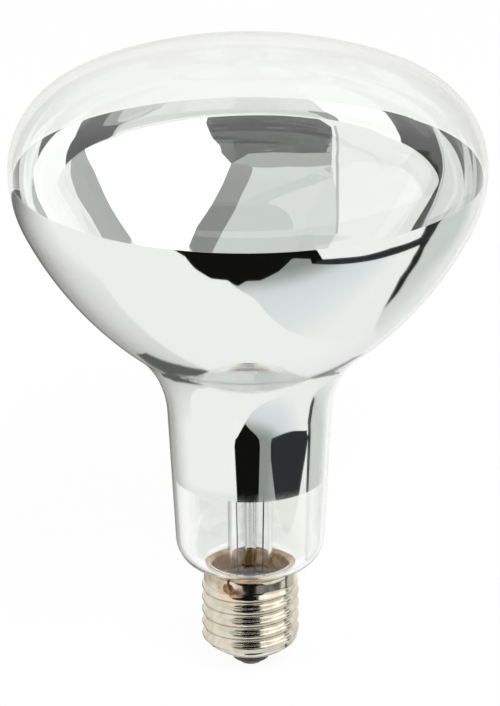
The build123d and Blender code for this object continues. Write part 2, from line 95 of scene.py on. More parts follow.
table_corners = [(-table_reach, -table_reach), (table_reach, -table_reach), (table_reach, table_reach),
                 (-table_reach, table_reach)]
table_mesh = bpy.data.meshes.new("table")
table_mesh.from_pydata([(x, y, 0) for x, y in table_corners], [], [(0, 1, 2, 3)])
table = bpy.data.objects.new("table", table_mesh)
bpy.context.scene.collection.objects.link(table)
table_white = bpy.data.materials.new("table_white")
table_white.use_nodes = True
tree = table_white.node_tree
tree.nodes.clear()
paper = tree.nodes.new("ShaderNodeBsdfDiffuse")
paper.inputs["Color"].default_value = (0.82, 0.82, 0.81, 1)
glow = tree.nodes.new("ShaderNodeEmission")
glow.inputs["Strength"].default_value = 1.0
surface = tree.nodes.new("ShaderNodeOutputMaterial")
glow_share = calc(tree, "MULTIPLY", seen_rays(tree), table_glow)
tree.links.new(mixed(tree, glow_share, paper, glow), surface.inputs["Surface"])
table_mesh.materials.append(table_white)
table.visible_glossy = False
table.visible_transmission = False

room = bpy.data.worlds.new("white_room")
bpy.context.scene.world = room
room.use_nodes = True
tree = room.node_tree
tree.nodes.clear()
soft_light = tree.nodes.new("ShaderNodeBackground")
soft_light.inputs["Strength"].default_value = room_light
white_wall = tree.nodes.new("ShaderNodeBackground")
white_wall.inputs["Strength"].default_value = room_white
for wall in (soft_light, white_wall):
    wall.inputs["Color"].default_value = (1, 1, 1, 1)
surface = tree.nodes.new("ShaderNodeOutputWorld")
tree.links.new(mixed(tree, seen_rays(tree), soft_light, white_wall), surface.inputs["Surface"])


# Studio lamps: one large soft box at the upper right, a weaker one at the left and one over the camera.
# They light the bulb and cast its soft shadow, and stay out of its reflections.
lit_middle = Vector((0, 0, 0.08))


def soft_box(name, place, size, watts):
    """Square lamp that faces the middle of the bulb, in metres and watts."""
    lamp = bpy.data.lights.new(name, "AREA")
    lamp.shape = "SQUARE"
    lamp.size = size
    lamp.energy = watts
    box = bpy.data.objects.new(name, lamp)
    toward = (lit_middle - Vector(place)).to_track_quat("-Z", "Y")
    box.matrix_world = Matrix.Translation(place) @ toward.to_matrix().to_4x4()
    box.visible_camera = False
    box.visible_glossy = False
    box.visible_transmission = False
    bpy.context.scene.collection.objects.link(box)


soft_box("key_lamp", (0.9, -0.9, 1.5), 0.9, 16.0)
soft_box("fill_lamp", (-1.2, -0.5, 0.9), 1.0, 7.0)
soft_box("front_lamp", (0.1, -1.4, 1.2), 0.6, 14.0)


# Reflection boards: black, grey and white card, hung far below and around the bulb and two of them close
# to the cap. Mirrored metal shows nothing of its own, so these give it form. Only reflections see them,
# apart from the two behind the neck and at the rear, which show through the clear glass as well.
board_drop = 200
board_eye = 110
board_distance = 3000


def board(name, corners, tone, strength=1.0, fade=None, through=False):
    """Flat board through its corners, in millimetres. A fade gives two points and the tones after the
    first one, each with its share of the way. Rays that only pass through glass miss the board, unless it
    shows through."""
    mesh = bpy.data.meshes.new(name)
    face = tuple(range(len(corners)))
    mesh.from_pydata([(x / 1000, y / 1000, z / 1000) for x, y, z in corners], [], [face])
    piece = bpy.data.objects.new(name, mesh)
    bpy.context.scene.collection.objects.link(piece)
    paint = bpy.data.materials.new(name)
    paint.use_nodes = True
    tree = paint.node_tree
    tree.nodes.clear()
    glow = tree.nodes.new("ShaderNodeEmission")
    glow.inputs["Color"].default_value = (*tone, 1)
    glow.inputs["Strength"].default_value = strength
    if fade:
        start, end, steps = fade
        way = (Vector(end) - Vector(start)) / 1000
        where = tree.nodes.new("ShaderNodeTexCoord")
        along = tree.nodes.new("ShaderNodeVectorMath")
        along.operation = "DOT_PRODUCT"
        along.inputs[1].default_value = way / way.length_squared
        tree.links.new(where.outputs["Object"], along.inputs[0])
        start_share = Vector(start).dot(way) / 1000 / way.length_squared
        tones = tree.nodes.new("ShaderNodeValToRGB")
        tones.color_ramp.elements[0].color = (*tone, 1)
        tones.color_ramp.elements[1].position = steps[-1][0]
        tones.color_ramp.elements[1].color = (*steps[-1][1], 1)
        for share, step_tone in steps[:-1]:
            tones.color_ramp.elements.new(share).color = (*step_tone, 1)
        tree.links.new(calc(tree, "SUBTRACT", along.outputs["Value"], start_share), tones.inputs[0])
        tree.links.new(tones.outputs[0], glow.inputs["Color"])
    out = tree.nodes.new("ShaderNodeOutputMaterial")
    if through:
        tree.links.new(glow.outputs[0], out.inputs["Surface"])
    else:
        path = tree.nodes.new("ShaderNodeLightPath")
        mirrored = calc(tree, "MINIMUM", path.outputs["Glossy Depth"], 1.0)
        clear = tree.nodes.new("ShaderNodeBsdfTransparent")
        tree.links.new(mixed(tree, mirrored, clear, glow), out.inputs["Surface"])
    mesh.materials.append(paint)
    piece.visible_camera = False
    piece.visible_diffuse = False
    piece.visible_shadow = False


def low_board(name, outline, tone, lift=0, fade=None, through=False):
    """Level board below the contact, by the x and y of its outline. A lift puts it over its neighbours."""
    if fade:
        fade = ((*fade[0], 0), (*fade[1], 0), fade[2])
    board(name, [(x, y, lift - board_drop) for x, y in outline], tone, 1.0, fade, through)


def far_board(name, outline, tone, strength=1.0, nearer=0, through=False):
    """Board far out, by the bearings of its outline, 0 towards the camera, and its angles above the level.
    A board that hangs nearer covers its neighbours."""
    distance = board_distance - nearer
    corners = []
    for bearing, height in outline:
        across = math.radians(bearing)
        up = math.radians(height)
        corners.append((
            distance * math.cos(up) * math.sin(across),
            -distance * math.cos(up) * math.cos(across),
            board_eye + distance * math.sin(up),
        ))
    board(name, corners, tone, strength, None, through)


black = (0.006, 0.006, 0.005)
low_board("black_low_board", [
    (-415, -638), (-270, -535), (-185, -470), (-133, -425), (-88, -358), (-47, -287), (-28, -264),
    (-10, -308), (38, -375), (105, -458), (160, -530), (190, -580), (236, -593), (297, -524), (262, -433),
    (335, -463), (420, -665), (520, -900), (800, -1400), (1600, -4000), (-2600, -4000), (-1200, -1400),
], black)
card_front = -150
card_back = -70
card_top = 138
board("cap_card", [(x, card_front, z) for x, z in (
    (-46, 17), (14, 17), (34, 50), (45, 79), (56, 97), (60, card_top), (-76, card_top), (-74, 92), (-63, 50),
)], black)
board("cap_card_top", [(x, y, card_top) for x, y in (
    (-76, card_front), (60, card_front), (42, card_back), (-46, card_back),
)], black)
low_board("neck_backdrop", [
    (-70, 430), (70, 430), (70, 720), (-70, 720),
], (0.82, 0.83, 0.8), fade=((-45, 0), (50, 0), [
    (0.15, (0.74, 0.755, 0.715)), (0.55, (0.8, 0.81, 0.77)), (1.0, (0.92, 0.93, 0.88)),
]), through=True)
low_board("black_low_strip", [
    (262, -433), (300, -372), (335, -316), (399, -222), (472, -112), (516, -32), (548, 42), (576, 103),
    (784, 173), (1107, 392), (1113, 54), (750, 30), (660, 18), (614, -72), (573, -170), (467, -284),
    (397, -395), (335, -463),
], (0.03, 0.034, 0.035))
low_board("black_low_rod", [
    (560, 42), (425, 44), (286, 82), (246, 106), (217, 129), (253, 134), (314, 115), (491, 88), (585, 108),
], (0.02, 0.022, 0.022), lift=2)
low_board("blue_low_board", [
    (-50, -284), (-21, -229), (11, -162), (40, -101), (63, -55), (105, 16), (140, 88), (170, 145), (191, 170),
    (217, 129), (246, 108), (286, 92), (425, 60), (560, 60), (600, 40), (560, -60), (500, -140), (440, -230),
    (370, -330), (300, -440), (320, -500), (250, -620), (150, -560), (60, -420), (-20, -310),
], (0.3, 0.32, 0.31), lift=-1, fade=((30, -400), (140, 20), [
    (0.2, (0.42, 0.45, 0.44)), (0.45, (0.74, 0.78, 0.79)), (0.75, (0.83, 0.87, 0.88)),
    (1.0, (0.98, 0.98, 0.97)),
]))
low_board("grey_right_board", [
    (217, 129), (253, 134), (314, 115), (491, 88), (585, 108), (784, 173), (1107, 392), (1107, 760),
    (330, 640), (165, 400), (160, 300), (187, 180),
], (0.68, 0.71, 0.69), lift=-1, fade=((240, 110), (40, 330), [
    (0.2, (0.76, 0.79, 0.77)), (0.42, (0.88, 0.9, 0.88)), (0.65, (1.0, 1.0, 0.99)),
]))
low_board("grey_rear_board", [
    (-45, 120), (-45, 840), (-800, 840), (-800, -60),
], (1.0, 1.0, 0.99), fade=((-430, 60), (-150, 620), [
    (0.35, (0.78, 0.78, 0.76)), (1.0, (0.2, 0.2, 0.19)),
]))
low_board("dark_rear_board", [
    (-129, 345), (-136, 232), (-97, 158), (-70, 126), (-42, 114), (-50, 140), (-62, 165), (-76, 205),
    (-84, 260), (-84, 345), (-100, 400),
], (0.13, 0.14, 0.13), lift=1)
low_board("thin_rear_board", [
    (-50, 170), (-33, 168), (-6, 158), (20, 165), (42, 182), (60, 205), (79, 243), (120, 330), (120, 420),
    (-20, 260), (-60, 240),
], (0.42, 0.43, 0.42), lift=1)
far_board("camera_side", [
    (20, 5), (21, 11), (19, 26), (15, 35), (10, 39), (-0.5, 36), (-13, 35), (-31, 32.6), (-47, 29), (-43, 10),
    (-36, 4), (-16, 4),
], (0.012, 0.014, 0.012))
far_board("camera_side_left", [
    (-17, 12), (-26, 33.2), (-31, 32.6), (-46.6, 28.8), (-43, 12),
], (0.1, 0.105, 0.1), nearer=20)
far_board("camera_side_stripe", [
    (-11.9, 17.2), (-14.3, 16.8), (-25, 33.2), (-22.2, 33.4),
], (0.1, 0.105, 0.1), nearer=30)
far_board("camera_side_right", [
    (20.5, 8), (19, 26), (15, 35), (10, 38.5), (6.7, 37), (5.7, 8),
], (0.08, 0.085, 0.08), nearer=20)
far_board("camera_side_end", [
    (-39, 19), (-42.5, 29.6), (-46.8, 28.8), (-44.6, 19),
], (0.4, 0.4, 0.4), nearer=40)
far_board("front_upper", [
    (10, 39), (-0.5, 36), (-13, 35), (-31, 32.6), (-47, 29), (-50, 34), (-24, 39), (-4, 40.5),
], (0.38, 0.4, 0.39))
far_board("front_ceiling", [
    (-3.5, 40.5), (-24, 39), (-50, 34), (-60, 40), (-76, 47), (-85, 60), (-60, 68), (20, 68), (45, 64),
    (25, 59.6), (11.5, 54.4), (4.2, 48.9), (-0.5, 44.9),
], (0.74, 0.77, 0.76))
far_board("ceiling_streak", [
    (-19.7, 44.2), (-32.3, 40), (-50, 34.5), (-52.6, 37), (-27.4, 46.1),
], (0.55, 0.58, 0.57), nearer=20)
far_board("soft_box_edge", [
    (10, 39), (17, 45.2), (28, 50.7), (46, 54.6), (62, 57), (62, 67), (45, 64), (25, 59.6), (11.5, 54.4),
    (4.2, 48.9), (-0.5, 44.9), (-3.5, 41.6), (-1, 38.5),
], (0.29, 0.29, 0.285))
far_board("soft_box", [
    (20, 5), (21, 11), (19, 26), (15, 35), (10, 39), (17, 45.2), (28, 50.7), (46, 54.6), (62, 57), (98, 60),
    (96, 38), (94, 29.7), (91.4, 21.8), (90, 5),
], (1, 1, 1), strength=1.5)
far_board("room_corner", [
    (88, 3), (90, 5), (91.4, 21.8), (94, 29.7), (96, 38), (118, 38), (117, 26), (113, 21.3), (108.7, 16.9),
    (101.3, 7.2), (99, 3),
], (0.4, 0.42, 0.41))
far_board("room_seam", [
    (-44, 8), (-50.7, 31.5), (-60, 40.3), (-76, 47.4), (-77.5, 46.8), (-62, 39.6), (-52.2, 31), (-45.5, 8),
], (0.5, 0.53, 0.52), nearer=50)
far_board("rear_wall", [
    (110, -14), (110, 28), (145, 28), (180, 28), (215, 28), (250, 28), (250, -14), (215, -14), (180, -14),
    (145, -14),
], (0.95, 0.955, 0.92), through=True)


# Glass bulb: one piece of clear glass about a millimetre thick, blown in a mould. Its domed face runs
# through a rounded edge into the bowl, the neck and the throat where the stem is sealed in.
overall_length = 173.0
bulb_diameter = 125.0
widest_height = 142.0
face_edge_radius = 23.0
bowl_top_radius = 32.6
bowl_top_angle = 26.0
bowl_radius = 100.0
neck_fillet_radius = 27.2
neck_diameter = 40.0
neck_half_angle = 2.9
neck_end_radius = 8.0
neck_end_height = 37.5
throat_radius = 10.755
throat_fillet_radius = 2.0
throat_end = 20.0
glass_wall = 1.0
skin_trim = 0.03
outline_spacing = 1.3
longest_gap = 2.08
shortest_gap = 0.01
fewest_steps = 6
bulb_facets = 192
weld_gap = 0.002
crisp_angle = 0.7
worn_share = 0.36
clean_share = 0.62


def on_circle(centre, radius, angle):
    """Point of a circle in r and z."""
    turn = math.radians(angle)
    return (centre[0] + radius * math.cos(turn), centre[1] + radius * math.sin(turn))


def bulb_arcs():
    """Tangent arcs of the glass's outer skin, from the top down: centre, radius, two angles and bulge."""
    widest = bulb_diameter / 2
    edge_r = widest - face_edge_radius
    rise = overall_length - widest_height - face_edge_radius
    drop = (edge_r ** 2 - rise ** 2) / (2 * rise)
    dome_end = math.degrees(math.atan2(drop, edge_r))
    bowl_top = (widest - bowl_top_radius, widest_height)
    bowl_start = on_circle(bowl_top, bowl_top_radius, -bowl_top_angle)
    bowl = on_circle(bowl_start, -bowl_radius, -bowl_top_angle)
    lean = math.radians(neck_half_angle)
    end = (neck_diameter / 2 - neck_end_radius * math.cos(lean), neck_end_height)
    neck_start = on_circle(end, neck_end_radius, -neck_half_angle)
    beside = on_circle(neck_start, neck_fillet_radius, -neck_half_angle)
    gap = (beside[0] - bowl[0], beside[1] - bowl[1])
    half_sum = gap[0] * math.sin(lean) + gap[1] * math.cos(lean)
    reach = bowl_radius + neck_fillet_radius
    step = -half_sum - math.sqrt(half_sum ** 2 - gap[0] ** 2 - gap[1] ** 2 + reach ** 2)
    fillet = (beside[0] + step * math.sin(lean), beside[1] + step * math.cos(lean))
    bowl_end = math.degrees(math.atan2(bowl[1] - fillet[1], fillet[0] - bowl[0]))
    throat_r = throat_radius + throat_fillet_radius
    throat_drop = math.sqrt((neck_end_radius + throat_fillet_radius) ** 2 - (throat_r - end[0]) ** 2)
    end_turn = math.degrees(math.atan2(throat_drop, throat_r - end[0]))
    return [
        ((0.0, widest_height - drop), overall_length - widest_height + drop, 90.0, dome_end, 1),
        ((edge_r, widest_height), face_edge_radius, dome_end, 0.0, 1),
        (bowl_top, bowl_top_radius, 0.0, -bowl_top_angle, 1),
        (bowl, bowl_radius, -bowl_top_angle, -bowl_end, 1),
        (fillet, neck_fillet_radius, 180.0 - bowl_end, 180.0 - neck_half_angle, -1),
        (end, neck_end_radius, -neck_half_angle, -end_turn, 1),
        ((throat_r, neck_end_height - throat_drop), throat_fillet_radius, 180.0 - end_turn, 180.0, -1),
    ]


def part_way(start, end, share):
    """Point at a share of the way between two points."""
    return (start[0] + share * (end[0] - start[0]), start[1] + share * (end[1] - start[1]))


def cut_at(points, z):
    """List with the point where an outline crosses a height on its way down, or an empty one."""
    for above, below in zip(points, points[1:]):
        if above[1] >= z > below[1]:
            share = (above[1] - z) / (above[1] - below[1])
            return [(above[0] + share * (below[0] - above[0]), z)]
    return []


def evenly_spaced(points):
    """The same outline without doubled points, and with points added on its long stretches."""
    kept = [points[0]]
    for point in points[1:]:
        last = kept[-1]
        gap = math.dist(point, last)
        if gap > shortest_gap:
            steps = math.ceil(gap / longest_gap)
            kept.extend(part_way(last, point, k / steps) for k in range(1, steps + 1))
    return kept


def skin_points(depth, z_top=math.inf, z_low=-math.inf):
    """Points down the skin that lies a depth under the glass's outer skin, in r and z."""
    points = []
    for centre, radius, start, end, bulge in bulb_arcs():
        skin = radius - bulge * depth
        steps = max(fewest_steps, round(abs(math.radians(end - start)) * skin / outline_spacing))
        for k in range(steps + 1):
            points.append(on_circle(centre, skin, start + (end - start) * k / steps))
    points.append((throat_radius - depth, throat_end))
    between = [point for point in points if z_low < point[1] < z_top]
    return evenly_spaced(cut_at(points, z_top) + between + cut_at(points, z_low))


def maker_tree(name, number, sizes):
    """Node tree with inputs for a start mesh, a whole number, a material and sizes, and its input node."""
    tree = bpy.data.node_groups.new(name, "GeometryNodeTree")
    face = tree.interface
    face.new_socket("Geometry", in_out="INPUT", socket_type="NodeSocketGeometry")
    face.new_socket(number, in_out="INPUT", socket_type="NodeSocketInt")
    face.new_socket("Material", in_out="INPUT", socket_type="NodeSocketMaterial")
    for size in sizes:
        face.new_socket(size, in_out="INPUT", socket_type="NodeSocketFloat")
    face.new_socket("Geometry", in_out="OUTPUT", socket_type="NodeSocketGeometry")
    return tree, tree.nodes.new("NodeGroupInput")


def set_round(tree, points, radius, bearing, height):
    """Puts each point at its radius and bearing round the axis and at its height."""
    link = tree.links.new
    spot = tree.nodes.new("ShaderNodeCombineXYZ")
    link(calc(tree, "MULTIPLY", radius, calc(tree, "COSINE", bearing)), spot.inputs["X"])
    link(calc(tree, "MULTIPLY", radius, calc(tree, "SINE", bearing)), spot.inputs["Y"])
    link(height, spot.inputs["Z"])
    place = tree.nodes.new("GeometryNodeSetPosition")
    link(points, place.inputs["Geometry"])
    link(spot.outputs[0], place.inputs["Position"])
    return place.outputs[0]


def hand_out(tree, given, skin):
    """Last steps of a node tree: a real mesh with its material."""
    link = tree.links.new
    real = tree.nodes.new("GeometryNodeRealizeInstances")
    link(skin, real.inputs["Geometry"])
    coat = tree.nodes.new("GeometryNodeSetMaterial")
    link(real.outputs[0], coat.inputs["Geometry"])
    link(given.outputs["Material"], coat.inputs["Material"])
    result = tree.nodes.new("NodeGroupOutput")
    link(coat.outputs[0], result.inputs[0])


def wound_sheet(name, sizes):
    """Node tree with a sheet of points, one column for each facet round the axis and one row for each
    outline point. Gives the tree, its input node, the sheet, each point's bearing and outline point."""
    tree, given = maker_tree(name, "Facets", sizes)
    link = tree.links.new
    count = tree.nodes.new("GeometryNodeAttributeDomainSize")
    link(given.outputs["Geometry"], count.inputs[0])
    sheet = tree.nodes.new("GeometryNodeMeshGrid")
    sheet.inputs["Size X"].default_value = 2 * math.pi
    sheet.inputs["Size Y"].default_value = 1
    link(calc(tree, "ADD", given.outputs["Facets"], 1), sheet.inputs["Vertices X"])
    link(count.outputs["Point Count"], sheet.inputs["Vertices Y"])
    here = tree.nodes.new("GeometryNodeInputPosition")
    split = tree.nodes.new("ShaderNodeSeparateXYZ")
    link(here.outputs[0], split.inputs[0])
    last = calc(tree, "SUBTRACT", count.outputs["Point Count"], 1)
    share = calc(tree, "ADD", split.outputs["Y"], 0.5)
    row = calc(tree, "ROUND", calc(tree, "MULTIPLY", share, last))
    pick = tree.nodes.new("GeometryNodeSampleIndex")
    pick.data_type = "FLOAT_VECTOR"
    outline_place = tree.nodes.new("GeometryNodeInputPosition")
    link(given.outputs["Geometry"], pick.inputs["Geometry"])
    link(outline_place.outputs[0], pick.inputs["Value"])
    link(row, pick.inputs["Index"])
    return tree, given, sheet.outputs["Mesh"], split.outputs["X"], pick.outputs["Value"]


def close_skin(tree, given, sheet, radius, bearing, height):
    """Last steps of a turned skin: points to their places, seams closed and hard edges kept."""
    link = tree.links.new
    weld = tree.nodes.new("GeometryNodeMergeByDistance")
    weld.inputs["Distance"].default_value = weld_gap / 1000
    link(set_round(tree, sheet, radius, bearing, height), weld.inputs["Geometry"])
    smooth = tree.nodes.new("GeometryNodeSetShadeSmooth")
    link(weld.outputs[0], smooth.inputs["Geometry"])
    bend = tree.nodes.new("GeometryNodeInputMeshEdgeAngle")
    crisp = tree.nodes.new("GeometryNodeSetShadeSmooth")
    crisp.domain = "EDGE"
    crisp.inputs["Shade Smooth"].default_value = False
    link(smooth.outputs[0], crisp.inputs["Geometry"])
    link(calc(tree, "GREATER_THAN", bend.outputs["Unsigned Angle"], crisp_angle), crisp.inputs["Selection"])
    hand_out(tree, given, crisp.outputs[0])


def lathe_tree():
    """Node tree that turns an outline in x and z round the axis into a closed skin."""
    tree, given, sheet, bearing, point = wound_sheet("turned_on_lathe", [])
    split = tree.nodes.new("ShaderNodeSeparateXYZ")
    tree.links.new(point, split.inputs[0])
    close_skin(tree, given, sheet, split.outputs["X"], bearing, split.outputs["Z"])
    return tree


def grown(name, start_mesh, tree, sizes):
    """Plain mesh piece that a node tree makes from a start mesh, with its inputs set by name."""
    maker = bpy.data.objects.new(name + "_maker", start_mesh)
    bpy.context.scene.collection.objects.link(maker)
    step = maker.modifiers.new("made", "NODES")
    step.node_group = tree
    for item in tree.interface.items_tree:
        if item.in_out == "INPUT" and item.name in sizes:
            step[item.identifier] = sizes[item.name]
    bpy.context.view_layer.update()
    seen = maker.evaluated_get(bpy.context.evaluated_depsgraph_get())
    mesh = bpy.data.meshes.new_from_object(seen)
    maker.modifiers.clear()
    bpy.data.objects.remove(maker)
    mesh.name = name
    piece = bpy.data.objects.new(name, mesh)
    bpy.context.scene.collection.objects.link(piece)
    return piece


def outline_mesh(name, points, depths=None):
    """Chain of points in x and z, in metres, from points in r and z in millimetres. Y holds their depths."""
    mesh = bpy.data.meshes.new(name + "_outline")
    links = [(k, k + 1) for k in range(len(points) - 1)]
    depths = depths or [0.0] * len(points)
    mesh.from_pydata([(r / 1000, depth / 1000, z / 1000) for (r, z), depth in zip(points, depths)], links, [])
    return mesh


def finish(name, colour, metal, rough):
    """Material with one main shader, and its node tree."""
    material = bpy.data.materials.new(name)
    material.use_nodes = True
    tree = material.node_tree
    shader = tree.nodes["Principled BSDF"]
    shader.inputs["Base Color"].default_value = (*colour, 1)
    shader.inputs["Metallic"].default_value = metal
    shader.inputs["Roughness"].default_value = rough
    return material, tree, shader


def ripple(tree, shader, scale, depth, detail, stretch=(1, 1, 1)):
    """Shallow unevenness of a surface: its scale in waves to the metre and its depth in metres."""
    where = tree.nodes.new("ShaderNodeTexCoord")
    fit = tree.nodes.new("ShaderNodeMapping")
    fit.inputs["Scale"].default_value = stretch
    noise = tree.nodes.new("ShaderNodeTexNoise")
    noise.inputs["Scale"].default_value = scale
    noise.inputs["Detail"].default_value = detail
    bump = tree.nodes.new("ShaderNodeBump")
    bump.inputs["Distance"].default_value = depth
    tree.links.new(where.outputs["Object"], fit.inputs["Vector"])
    tree.links.new(fit.outputs[0], noise.inputs["Vector"])
    tree.links.new(noise.outputs[0], bump.inputs["Height"])
    tree.links.new(bump.outputs[0], shader.inputs["Normal"])
    return noise


def mottle(tree, shader, noise, worn, clean, worn_rough, clean_rough):
    """Patchy surface: colour and roughness both follow one noise, from worn to clean."""
    for socket, low, high in (
        ("Base Color", (*worn, 1), (*clean, 1)),
        ("Roughness", (worn_rough,) * 3 + (1,), (clean_rough,) * 3 + (1,)),
    ):
        tones = tree.nodes.new("ShaderNodeValToRGB")
        tones.color_ramp.elements[0].position = worn_share
        tones.color_ramp.elements[0].color = low
        tones.color_ramp.elements[1].position = clean_share
        tones.color_ramp.elements[1].color = high
        tree.links.new(noise.outputs[0], tones.inputs[0])
        tree.links.new(tones.outputs[0], shader.inputs[socket])


def blown_glass(name, colour, scale, depth):
    """Clear glass with a rippled skin. It lets the lamps' light through to what lies behind it."""
    glass, tree, shader = finish(name, colour, 0.0, 0.0)
    shader.inputs["Transmission Weight"].default_value = 1.0
    shader.inputs["IOR"].default_value = 1.5
    ripple(tree, shader, scale, depth, 1.0)
    path = tree.nodes.new("ShaderNodeLightPath")
    clear = tree.nodes.new("ShaderNodeBsdfTransparent")
    either = mixed(tree, path.outputs["Is Shadow Ray"], shader, clear)
    tree.links.new(either, tree.nodes["Material Output"].inputs["Surface"])
    return glass


clear_glass = blown_glass("clear_glass", (0.985, 0.99, 0.985), 28.0, 0.00002)
lathe = lathe_tree()
outline = skin_points(glass_wall)
outline.extend(reversed(skin_points(skin_trim)))
glass_bulb = grown("glass_bulb", outline_mesh("glass_bulb", outline), lathe, {
    "Facets": bulb_facets, "Material": clear_glass,
})
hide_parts("glass_envelope")
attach(glass_bulb, "root")


# Mirror: aluminium evaporated on the inside of the bowl and of the upper neck. It starts at a crisp
# edge just under the widest ring and thins out over its last two millimetres in the neck.
mirror_depth = glass_wall + 0.1
mirror_film = 0.12
mirror_top = 141.0
mirror_bottom = 55.6
fade_low = 55.5
fade_high = 59.5
edge_wander = 4.0
film_left = 0.55
mirror_metal, tree, shader = finish("mirror_metal", (0.87, 0.88, 0.87), 1.0, 0.015)
noise = ripple(tree, shader, 22.0, 0.00003, 1.0)
where = tree.nodes.new("ShaderNodeTexCoord")
split = tree.nodes.new("ShaderNodeSeparateXYZ")
tree.links.new(where.outputs["Object"], split.inputs[0])
wander = calc(tree, "MULTIPLY_ADD", noise.outputs[0], edge_wander / 1000, split.outputs["Z"])
fade = tree.nodes.new("ShaderNodeMapRange")
fade.inputs["From Min"].default_value = fade_low / 1000
fade.inputs["From Max"].default_value = fade_high / 1000
fade.inputs["To Min"].default_value = film_left
tree.links.new(wander, fade.inputs["Value"])
tree.links.new(fade.outputs[0], shader.inputs["Alpha"])
outline = skin_points(mirror_depth + mirror_film, mirror_top, mirror_bottom)
outline.extend(reversed(skin_points(mirror_depth, mirror_top, mirror_bottom)))
outline.append(outline[0])
mirror = grown("mirror", outline_mesh("mirror", outline), lathe, {
    "Facets": bulb_facets, "Material": mirror_metal,
})
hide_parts("mirror_coating")
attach(mirror, "root")


# Screw shell: thin brass sheet drawn to a cup, nickel-plated, with a coarse round thread rolled in it.
# A plain band stays at the rim, and the lower end closes in on the insulator. The lead's soldering has
# burnt a brown stain into the plating.
crest_radius = 13.125
core_radius = 12.055
thread_pitch = 25.4 / 7
crest_start = -0.7214
thread_start = 7.0
thread_end = 24.9
run_out = 1.3
last_rise = 0.6
shell_wall = 0.3
cap_height = 28.5
band_radius = 12.6
lip_radius = 5.3
lip_height = 3.0
cone_bulge_radius = 19.4
blank_spare = 0.05
cone_steps = 24
band_spacing = 0.69
inner_spacing = 0.25
outer_spacing = 0.125
shell_facets = 180


def cone_height(r, depth):
    """Height of the cone's skin at a radius, or of the skin a depth under it."""
    span = math.hypot(core_radius - lip_radius, thread_start - lip_height)
    away = math.sqrt(cone_bulge_radius ** 2 - (span / 2) ** 2)
    centre_r = (lip_radius + core_radius) / 2 - (thread_start - lip_height) / span * away
    centre_z = (lip_height + thread_start) / 2 + (core_radius - lip_radius) / span * away
    return centre_z - math.sqrt((cone_bulge_radius - depth) ** 2 - (r - centre_r) ** 2)


def blank_points(depth, spacing):
    """Points up the turned form that the thread is rolled in, from the lip to the rim, in r and z."""
    full_radius = crest_radius + blank_spare - depth
    points = []
    for k in range(cone_steps + 1):
        r = lip_radius + (full_radius - lip_radius) * k / cone_steps
        points.append((r, cone_height(r, depth)))
    for corner, step in (
        ((full_radius, thread_end - run_out), spacing),
        ((band_radius - depth, thread_end), spacing),
        ((band_radius - depth, cap_height - shell_wall / 2), band_spacing),
    ):
        start = points[-1]
        steps = round((corner[1] - start[1]) / step)
        points.extend(part_way(start, corner, k / steps) for k in range(1, steps + 1))
    return points


def thread_tree():
    """Node tree that turns a blank round the axis and rolls a helical thread of tangent arcs in it."""
    tree, given, sheet, bearing, point = wound_sheet("rolled_thread", [
        "Pitch", "Crest Radius", "Core Radius", "First Crest", "Thread End",
    ])
    split = tree.nodes.new("ShaderNodeSeparateXYZ")
    tree.links.new(point, split.inputs[0])
    blank, depth, height = split.outputs["X"], split.outputs["Y"], split.outputs["Z"]
    pitch, crest, core = (given.outputs[size] for size in ("Pitch", "Crest Radius", "Core Radius"))
    groove = calc(tree, "SUBTRACT", crest, core)
    half = calc(tree, "MULTIPLY", pitch, 0.5)
    steep = calc(tree, "DIVIDE", calc(tree, "MULTIPLY", half, half), calc(tree, "MULTIPLY", groove, 4.0))
    arc = calc(tree, "ADD", steep, calc(tree, "MULTIPLY", groove, 0.25))
    climb = calc(tree, "MULTIPLY", pitch, calc(tree, "DIVIDE", bearing, 2 * math.pi))
    above = calc(tree, "SUBTRACT", calc(tree, "SUBTRACT", height, given.outputs["First Crest"]), climb)
    off_crest = calc(tree, "ABSOLUTE", calc(tree, "WRAP", above, half, calc(tree, "MULTIPLY", half, -1.0)))
    off_core = calc(tree, "SUBTRACT", half, off_crest)
    swell = calc(tree, "SUBTRACT", arc, depth)
    cup = calc(tree, "ADD", arc, depth)

    def arc_rise(radius, offset):
        """Height of an arc over its centre, at an offset along the axis."""
        square = calc(tree, "MULTIPLY", radius, radius)
        rest = calc(tree, "SUBTRACT", square, calc(tree, "MULTIPLY", offset, offset))
        return calc(tree, "SQRT", calc(tree, "MAXIMUM", rest, 0.0))

    on_crest = calc(tree, "ADD", calc(tree, "SUBTRACT", crest, arc), arc_rise(swell, off_crest))
    in_core = calc(tree, "SUBTRACT", calc(tree, "ADD", core, arc), arc_rise(cup, off_core))
    join = calc(tree, "MULTIPLY", calc(tree, "MULTIPLY", half, 0.5), calc(tree, "DIVIDE", swell, arc))
    is_crest = calc(tree, "LESS_THAN", off_crest, join)
    wave = calc(tree, "MULTIPLY_ADD", is_crest, calc(tree, "SUBTRACT", on_crest, in_core), in_core)
    rolled = calc(tree, "MINIMUM", blank, wave)
    run = tree.nodes.new("ShaderNodeMapRange")
    run.interpolation_type = "SMOOTHSTEP"
    tree.links.new(height, run.inputs["Value"])
    top = given.outputs["Thread End"]
    tree.links.new(calc(tree, "SUBTRACT", top, last_rise / 1000), run.inputs["From Min"])
    tree.links.new(top, run.inputs["From Max"])
    radius = calc(tree, "MULTIPLY_ADD", run.outputs[0], calc(tree, "SUBTRACT", blank, rolled), rolled)
    mark = tree.nodes.new("GeometryNodeStoreNamedAttribute")
    mark.inputs["Name"].default_value = "inside"
    tree.links.new(sheet, mark.inputs["Geometry"])
    tree.links.new(calc(tree, "GREATER_THAN", depth, shell_wall / 2000), mark.inputs["Value"])
    close_skin(tree, given, mark.outputs[0], radius, bearing, height)
    return tree


